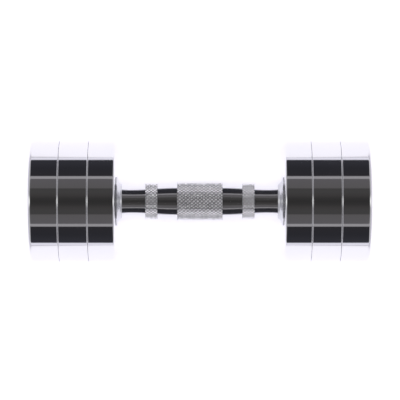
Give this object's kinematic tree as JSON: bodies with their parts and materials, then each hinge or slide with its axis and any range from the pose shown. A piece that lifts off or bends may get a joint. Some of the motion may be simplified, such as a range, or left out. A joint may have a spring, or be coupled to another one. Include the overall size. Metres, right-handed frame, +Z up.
{
  "type": "adjustable dumbbell",
  "caption": "Chrome dumbbell with a barrel-shaped knurled handle and round heads, each a stack of screw-on plates that thread on to the bar and on to each other.",
  "frame": {"origin": "the middle of the grip, on the handle's axis", "axes": "+X along the handle towards the right-hand head, +Z up when the dumbbell lies on its heads, +Y away from the lifter"},
  "size_m": [0.2748, 0.1, 0.1],
  "materials": {
    "plate_chrome": "mirror-polished plating",
    "handle_chrome": "polished plating, knurled bands",
    "stud_steel": "zinc-plated, machined thread",
    "washer_rubber": "matte moulded"
  },
  "bodies": {
    "handle": {"handle_bar": "handle_chrome", "collar_left": "handle_chrome", "collar_right": "handle_chrome"},
    "inner_washer_body_left": {"inner_washer_left": "washer_rubber"},
    "inner_plate_body_left": {"inner_plate_left": "plate_chrome", "inner_stud_left": "stud_steel"},
    "middle_washer_body_left": {"middle_washer_left": "washer_rubber"},
    "middle_plate_body_left": {"middle_plate_left": "plate_chrome", "middle_stud_left": "stud_steel"},
    "outer_washer_body_left": {"outer_washer_left": "washer_rubber"},
    "outer_plate_body_left": {"outer_plate_left": "plate_chrome", "outer_stud_left": "stud_steel"},
    "inner_washer_body_right": {"inner_washer_right": "washer_rubber"},
    "inner_plate_body_right": {"inner_plate_right": "plate_chrome", "inner_stud_right": "stud_steel"},
    "middle_washer_body_right": {"middle_washer_right": "washer_rubber"},
    "middle_plate_body_right": {"middle_plate_right": "plate_chrome", "middle_stud_right": "stud_steel"},
    "outer_washer_body_right": {"outer_washer_right": "washer_rubber"},
    "outer_plate_body_right": {"outer_plate_right": "plate_chrome", "outer_stud_right": "stud_steel"}
  },
  "joints": [
    {"name": "inner_travel_left", "type": "slide", "parent": "handle", "child": "inner_washer_body_left", "axis": [-1, 0, 0], "range_m": [0, 0.012]},
    {"name": "inner_screw_left", "type": "hinge", "parent": "inner_washer_body_left", "child": "inner_plate_body_left", "pos_m": [0, 0, 0], "axis": [-1, 0, 0], "range_deg": [0, 2160]},
    {"name": "middle_travel_left", "type": "slide", "parent": "inner_plate_body_left", "child": "middle_washer_body_left", "axis": [-1, 0, 0], "range_m": [0, 0.012]},
    {"name": "middle_screw_left", "type": "hinge", "parent": "middle_washer_body_left", "child": "middle_plate_body_left", "pos_m": [0, 0, 0], "axis": [-1, 0, 0], "range_deg": [0, 2160]},
    {"name": "outer_travel_left", "type": "slide", "parent": "middle_plate_body_left", "child": "outer_washer_body_left", "axis": [-1, 0, 0], "range_m": [0, 0.012]},
    {"name": "outer_screw_left", "type": "hinge", "parent": "outer_washer_body_left", "child": "outer_plate_body_left", "pos_m": [0, 0, 0], "axis": [-1, 0, 0], "range_deg": [0, 2160]},
    {"name": "inner_travel_right", "type": "slide", "parent": "handle", "child": "inner_washer_body_right", "axis": [1, 0, 0], "range_m": [0, 0.012]},
    {"name": "inner_screw_right", "type": "hinge", "parent": "inner_washer_body_right", "child": "inner_plate_body_right", "pos_m": [0, 0, 0], "axis": [1, 0, 0], "range_deg": [0, 2160]},
    {"name": "middle_travel_right", "type": "slide", "parent": "inner_plate_body_right", "child": "middle_washer_body_right", "axis": [1, 0, 0], "range_m": [0, 0.012]},
    {"name": "middle_screw_right", "type": "hinge", "parent": "middle_washer_body_right", "child": "middle_plate_body_right", "pos_m": [0, 0, 0], "axis": [1, 0, 0], "range_deg": [0, 2160]},
    {"name": "outer_travel_right", "type": "slide", "parent": "middle_plate_body_right", "child": "outer_washer_body_right", "axis": [1, 0, 0], "range_m": [0, 0.012]},
    {"name": "outer_screw_right", "type": "hinge", "parent": "outer_washer_body_right", "child": "outer_plate_body_right", "pos_m": [0, 0, 0], "axis": [1, 0, 0], "range_deg": [0, 2160]}
  ],
  "couplings": [
    {"joint": "inner_travel_left", "follows": "inner_screw_left", "m_per_rad": 0.00031831},
    {"joint": "middle_travel_left", "follows": "middle_screw_left", "m_per_rad": 0.00031831},
    {"joint": "outer_travel_left", "follows": "outer_screw_left", "m_per_rad": 0.00031831},
    {"joint": "inner_travel_right", "follows": "inner_screw_right", "m_per_rad": 0.00031831},
    {"joint": "middle_travel_right", "follows": "middle_screw_right", "m_per_rad": 0.00031831},
    {"joint": "outer_travel_right", "follows": "outer_screw_right", "m_per_rad": 0.00031831}
  ]
}
